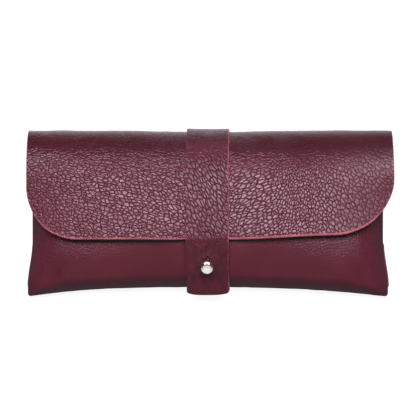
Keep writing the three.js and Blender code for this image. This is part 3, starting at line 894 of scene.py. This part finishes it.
def make_seams():
    pieces = []
    for side, sign in (("left", -1), ("right", 1)):
        outer = POUCH_X + sign * (HALF_WIDTH - ALLOWANCE_OUTER)
        inner = POUCH_X + sign * (HALF_WIDTH - ALLOWANCE_INNER)
        allowance = strip(f"seam_allowance_{side}_leather", min(inner, outer), max(inner, outer), 41 + sign)
        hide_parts(f"seam_allowance_{side}")
        at_x = POUCH_X + sign * (HALF_WIDTH - SEAM_LINE)
        places = np.arange(SEAM_LOW_Y, SEAM_HIGH_Y, STITCH_STEP)
        stitches = [((at_x, y, SEAM_Z), (at_x, y + STITCH_LENGTH, SEAM_Z)) for y in places]
        thread = thread_run(f"seam_stitches_{side}", stitches, 0.32, 0.22, (0, 0, 1))
        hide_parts(f"seam_thread_{side}")
        for piece in (allowance, thread):
            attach(piece, "pouch")
            pieces.append(piece)
    return pieces


# ---------------- strap

def strap_curve():
    """The strap's grain side from its tip, up over the flap, round the fold and down the back."""
    tail = spline(STRAP_TAIL[::-1])
    tail_path = Path(tail)
    out_y, out_z = tail_path.out(tail_path.far)
    tail = tail + np.column_stack([out_y, out_z]) * LEATHER
    far = np.concatenate([np.linspace(4, BACK_AT, 260), np.linspace(BACK_AT, BACK_AT + 40, 120)[1:]])
    x = np.full(len(far), STRAP_X)
    on_back = smooth(BACK_AT - 6, BACK_AT + 2, far)
    lift = (STRAP_OVER - fold_dent(x, far)) * (1 - on_back)
    over = HIDE.place(x, far, lift)[:, 1:]
    over[:, 1] = np.maximum(over[:, 1], 0)
    stop = np.argmax((over[:, 0] <= STRAP_START_Y) & (far > BACK_AT))
    return Path(np.vstack([tail[tail[:, 0] < FLAP_EDGE_Y + 1.5], over[:stop + 1]]))


STRAP = strap_curve()
STRAP_LIFT_AT = STRAP.find_y(STRAP_LIFT[1] + 0.6)
STRAP_FOLD_AT = STRAP.far[np.argmax(STRAP.points[:, 0] * (STRAP.points[:, 1] > 0))]
FLAP_LINE_AT = STRAP.find_y(FLAP_EDGE_Y)
STUD_AT = STRAP.far[np.argmin(np.abs(STRAP.points - (STUD_BASE + STUD_AXIS * 3.2)[1:]).sum(axis=1))]


def strap_relief(x, far):
    """The strap's crown over the flap, and its cupped, creased tail pulled in round the stud."""
    side = (x - STRAP_X) / (STRAP_WIDTH / 2)
    on_flap = smooth(FLAP_LINE_AT - 3, FLAP_LINE_AT + 6, far)
    on_flap = on_flap * (1 - smooth(STRAP_FOLD_AT - 16, STRAP_FOLD_AT, far))
    hanging = 1 - smooth(FLAP_LINE_AT - 6, FLAP_LINE_AT + 2, far)
    crown = 0.6 * (1 - side ** 2) * on_flap
    cup = -0.9 * side ** 4 * hanging
    dx, dy = x - STRAP_X, far - STUD_AT
    reach = np.hypot(dx, dy)
    angle = np.arctan2(dy, dx)
    pull = -0.45 * bell(reach, 4.8)
    rays = 0.05 * np.cos(angle * 9 + 1.2 * np.sin(angle * 2)) * bell(reach - 5.2, 2.3)
    bend = 0.35 * np.sin(dy * 0.8)
    crease = -1.25 * np.exp(-((dx + bend) / 0.7) ** 2 - ((dy + 5.6) / 2.0) ** 2)
    by_stud = 0.6 + 0.8 * bell(dy + 6, 7)
    pleat = 0.26 * noise(x, far * 0.22, 3.4, 51) + 0.12 * noise(x, far * 0.3, 1.7, 55)
    pleat = pleat * hanging * smooth(1, 5, far)
    wave = (0.3 * noise(x, far, 16, 52) + 0.1 * noise(x, far, 5.5, 53)) * (0.35 + 0.65 * (1 - hanging))
    back = smooth(STRAP_FOLD_AT, STRAP_FOLD_AT + 10, far)
    return (crown + cup + pull + rays + crease + pleat * by_stud + wave) * (1 - back)


def pleat_shade_and_mottle(x, far):
    """How much darker the strap's tail is drawn: painted shade along its creases, a random mottle, and
    lighter toward the tip.
    """
    hanging = 1 - smooth(FLAP_LINE_AT - 6, FLAP_LINE_AT + 3, far)
    below = far - STUD_AT
    lines = 0.0
    for seed, middle, width, start, stop, amount in PLEAT_SHADES:
        line = STRAP_X + middle + 0.9 * noise(far, far * 0, 5.0, seed)
        along = smooth(start - 1.5, start + 1.5, below) * (1 - smooth(stop - 1.5, stop + 1.5, below))
        lines = lines + amount * bell(x - line, width) * along
    mottle = 0.18 * noise(x, far * 0.5, 1.1, 61) + 0.09 * noise(x, far * 0.3, 3.2, 62)
    return (lines + mottle - 0.02 - 0.42 * (1 - smooth(3, 17, far))) * hanging


def strap_surface(x, far):
    """Points on the strap's grain side, with the stitches' groove where it is sewn on."""
    y, _ = STRAP.at(far)
    from_middle = np.maximum(np.abs(x - STRAP_X), np.abs(y - STITCH_Y))
    groove = 0.5 * bell(from_middle - STITCH_SIDE / 2, 0.55) * (far > STRAP_FOLD_AT)
    return STRAP.place(x, far, strap_relief(x, far) - groove)


def strap_piece(name, start, stop, raw_tip=False):
    """A length of the strap. raw_tip is for the one that ends in the strap's tip."""
    places = spaced(start, stop, STRAP_GRID)
    across = np.linspace(-1, 1, 37)
    half = np.full(len(places), STRAP_WIDTH / 2)
    if raw_tip:
        turn = np.linspace(0, math.pi / 2, 12)
        straight = spaced(STRAP_TIP_ROUND, stop, STRAP_GRID)
        places = np.concatenate([STRAP_TIP_ROUND * (1 - np.cos(turn)), straight[1:]])
        inside = np.clip(STRAP_TIP_ROUND - places, 0, STRAP_TIP_ROUND)
        half = STRAP_WIDTH / 2 - STRAP_TIP_ROUND + np.sqrt(STRAP_TIP_ROUND ** 2 - inside ** 2)
    x = STRAP_X + across[None, :] * half[:, None]
    far = np.broadcast_to(places[:, None], x.shape).copy()
    if raw_tip:
        far = far + TIP_BOW * ((x - STRAP_X) / (STRAP_WIDTH / 2)) ** 2 * (1 - smooth(0, 12, far))
    x = x + 0.18 * noise(far, far * 0, 14, 54) * np.sign(across)[None, :] * np.abs(across)[None, :] ** 3
    grain = strap_surface(x, far)
    normal = surface_normals(strap_surface, x, far)
    dx, dy = x - STRAP_X, far - FLAP_LINE_AT
    drawn = stretched(dx, dy, -58, 0.56)
    pattern = np.stack([dx + drawn[0] + 800, dy + drawn[1]], axis=-1)
    plain = np.maximum(1 - smooth(FLAP_LINE_AT - 4, FLAP_LINE_AT + 3, far),
                       0.9 * smooth(STRAP_FOLD_AT - 30, STRAP_FOLD_AT - 11, far))
    mask = 1.15 - 0.83 * plain
    # A slightly deeper tone over the whole strap, with painted shade where it nears the fold and along its
    # tail's creases
    shade_and_tone = 0.07 + 0.37 * smooth(STRAP_FOLD_AT - 20, STRAP_FOLD_AT - 12, far) + pleat_shade_and_mottle(x, far)

    def slant(r, c):
        joined = not raw_tip and r in (0, x.shape[0] - 1)
        on_right = c == x.shape[1] - 1
        return 0.5 + 0.55 * (1 - smooth(4, 22, far[r, c])) if on_right and not joined else 0.0

    piece = leather_sheet(name, grain, normal, pattern, mask, slant, shade_and_tone, 0.1 * (1 - plain))
    return piece


def keyhole():
    """A cutter for the strap's buttonhole: a round hole with a slit above it."""
    start = math.asin(SLIT_HALF_WIDTH / HOLE_RADIUS)
    turn = np.linspace(math.pi / 2 + start, 2.5 * math.pi - start, 30)
    outline = [(HOLE_RADIUS * math.cos(a), HOLE_ABOVE_STUD + HOLE_RADIUS * math.sin(a)) for a in turn]
    outline += [(SLIT_HALF_WIDTH, SLIT_REACH), (0.0, SLIT_REACH + SLIT_POINT), (-SLIT_HALF_WIDTH, SLIT_REACH)]
    rings = []
    for height in (0.2, 8.0):
        middle = STUD_BASE + STUD_AXIS * height
        rings.append([middle + STUD_RIGHT * a + STUD_UP * b for a, b in outline])
    points, faces = [], []
    add_tube(points, faces, rings)
    return add_piece("keyhole", points, faces[-2:] + faces[:-2], [RAW_EDGE], rounded=False)


def cut_buttonhole(piece):
    """Cuts the hole, and gives the new edge its place on the hide."""
    before = piece.data.copy()
    cutter = keyhole()
    modifier = piece.modifiers.new("buttonhole", "BOOLEAN")
    modifier.object = cutter
    modifier.operation = "DIFFERENCE"
    modifier.solver = "EXACT"
    modifier.material_mode = "TRANSFER"
    bpy.context.view_layer.update()
    cut = bpy.data.meshes.new_from_object(piece.evaluated_get(bpy.context.evaluated_depsgraph_get()))
    piece.modifiers.clear()
    piece.data = cut
    bpy.data.objects.remove(cutter)
    carry_attributes(before, cut)


def carry_attributes(old, new):
    """Gives each point of the new mesh what the old mesh's nearest point has."""
    tree = KDTree(len(old.vertices))
    for k, vertex in enumerate(old.vertices):
        tree.insert(vertex.co, k)
    tree.balance()
    nearest = np.array([tree.find(vertex.co)[1] for vertex in new.vertices])
    for name in ("pattern", *SHEET_VALUES):
        _, key, width = attribute_kind(name)
        values = np.zeros(len(old.vertices) * width, np.float32)
        old.attributes[name].data.foreach_get(key, values)
        put_attribute(new, name, values.reshape(-1, width)[nearest])


def make_strap():
    front = strap_piece("strap_leather", 0, STRAP_LIFT_AT, raw_tip=True)
    cut_buttonhole(front)
    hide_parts("strap_front")
    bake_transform(front)
    top = strap_piece("strap_top_leather", STRAP_LIFT_AT, STRAP_FOLD_AT)
    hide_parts("strap_top")
    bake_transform(top)
    back = strap_piece("strap_back_leather", STRAP_FOLD_AT, STRAP.length)
    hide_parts("strap_back", "strap_fold")
    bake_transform(back)
    half = STITCH_SIDE / 2
    places = np.linspace(-half, half, 6)
    stitches = []
    for a, b in zip(places, places[1:]):
        a, b = a + 0.25, b - 0.25
        stitches += [((a, -half), (b, -half)), ((a, half), (b, half))]
        stitches += [((-half, a), (-half, b)), ((half, a), (half, b))]
    lines = [tuple((STRAP_X + p[0], STITCH_Y + p[1], 0.45) for p in pair) for pair in stitches]
    thread = thread_run("strap_stitches", lines, 0.3, 0.12, (0, 0, -1))
    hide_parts("strap_stitching")
    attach(thread, "pouch")


# ---------------- stud

def turned(name, outline, sides=72):
    """A turned metal piece round the stud's axis, from (height, radius) places."""
    rings = [circle(STUD_BASE + STUD_AXIS * height, STUD_RIGHT, STUD_UP, radius, sides)
             for height, radius in outline]
    points, faces = [], []
    add_tube(points, faces, rings)
    piece = add_piece(name, points, faces, [NICKEL])
    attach(piece, "pouch")
    return piece


def make_stud():
    neck = [(1.3, 1.2), (1.6, NECK_RADIUS), (2.6, NECK_RADIUS)]
    turn = np.linspace(math.asin(1.2 / BALL_RADIUS), math.pi - 0.02, 33)
    ball = [(BALL_CENTRE - BALL_RADIUS * math.cos(a), BALL_RADIUS * math.sin(a)) for a in turn]
    stud = turned(STUD_NAME, COLLAR + neck + ball)
    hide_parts("ball_stud")
    for node in ("stud_screw", "stud_washer"):
        metal = frame["nodes"][node]
        metal.data.materials.clear()
        metal.data.materials.append(NICKEL)


# ---------------- the whole case

front, front_length = make_front()
seams = make_seams()
make_back()
make_flap()
make_strap()
make_stud()


# ---------------- floor, light and camera

VIEW_WIDTH = 0.1988
VIEW_DISTANCE = 1.2
VIEW_HEIGHT = 0.025
VIEW_LEAN = math.radians(1.2)
AIM = Vector((-0.001, 0.0019, 0.022))
FLOOR_REACH, FLOOR_Z = 4000.0, -0.1


def make_floor():
    corners = [(x * FLOOR_REACH, y * FLOOR_REACH, FLOOR_Z) for x, y in ((-1, -1), (1, -1), (1, 1), (-1, 1))]
    add_piece("floor", corners, [(0, 1, 2, 3)], [plain_floor()], rounded=False)


def softbox(name, where, target, wide, high, radiance, tint=(1, 1, 1)):
    """A panel light of even radiance, which the camera doesn't see."""
    light = bpy.data.lights.new(name, "AREA")
    light.shape = "RECTANGLE"
    light.size, light.size_y = wide, high
    light.energy = radiance * wide * high * math.pi
    light.color = tint
    panel = bpy.data.objects.new(name, light)
    panel.location = where
    panel.rotation_euler = (Vector(target) - Vector(where)).to_track_quat("-Z", "Y").to_euler()
    panel.visible_camera = False
    bpy.context.scene.collection.objects.link(panel)
    return panel


def at_angle(degrees, distance):
    """A place above the case, leaning from straight up toward its fold."""
    turn = math.radians(degrees)
    return (0.0, math.sin(turn) * distance, math.cos(turn) * distance)


def light_stud(panel, wanted):
    """Makes the panel light only the polished stud, or everything but the stud."""
    lit = bpy.data.collections.new("lit_by_" + panel.name)
    for piece in bpy.context.scene.objects:
        if piece.type == "MESH" and (piece.name == STUD_NAME) == wanted:
            lit.objects.link(piece)
    panel.light_linking.receiver_collection = lit


# The panels that only the polished metal mirrors, as (name, angle, distance, width, height, radiance)
METAL_LIGHTS = [("metal_dome", -35, 1.2, 8.0, 5.0, 0.72), ("metal_window", 69, 2.2, 3.4, 1.1, 3.2)]
# The parts of the table that it mirrors, as (name, middle in Y, depth, radiance)
METAL_TABLES = [("metal_table", -0.56, 1.0, 0.75), ("metal_table_behind", 0.6, 1.0, 0.5)]


def make_studio():
    world = bpy.data.worlds.new("studio")
    world.use_nodes = True
    background = world.node_tree.nodes["Background"]
    background.inputs["Color"].default_value = (1, 1, 1, 1)
    background.inputs["Strength"].default_value = 0.05
    bpy.context.scene.world = world
    centre = (0, 0, 0.02)
    light_stud(softbox("key", at_angle(18, 1.9), centre, 1.5, 0.5, 23.5, (1.0, 0.94, 1.05)), False)
    softbox("front", at_angle(-52, 2.2), centre, 4.6, 3.4, 0.17)
    for name, angle, far, wide, high, radiance in METAL_LIGHTS:
        light_stud(softbox(name, at_angle(angle, far), centre, wide, high, radiance), True)
    for name, middle, depth, radiance in METAL_TABLES:
        light_stud(softbox(name, (0.0, middle, 0.003), (0.0, middle, 1.0), 2.4, depth, radiance), True)
    bpy.context.scene.view_settings.view_transform = "Standard"


def make_camera():
    camera = bpy.data.cameras.new("camera")
    camera.sensor_width = 36
    reach = VIEW_DISTANCE - (VIEW_HEIGHT - AIM.z)
    camera.lens = camera.sensor_width * reach / VIEW_WIDTH
    camera.clip_start, camera.clip_end = 0.05, 20
    eye = bpy.data.objects.new("camera", camera)
    eye.location = AIM + Vector((math.sin(VIEW_LEAN), 0, math.cos(VIEW_LEAN))) * VIEW_DISTANCE
    eye.rotation_euler = (0, VIEW_LEAN, 0)
    bpy.context.scene.collection.objects.link(eye)
    bpy.context.scene.camera = eye


make_floor()
make_studio()
make_camera()
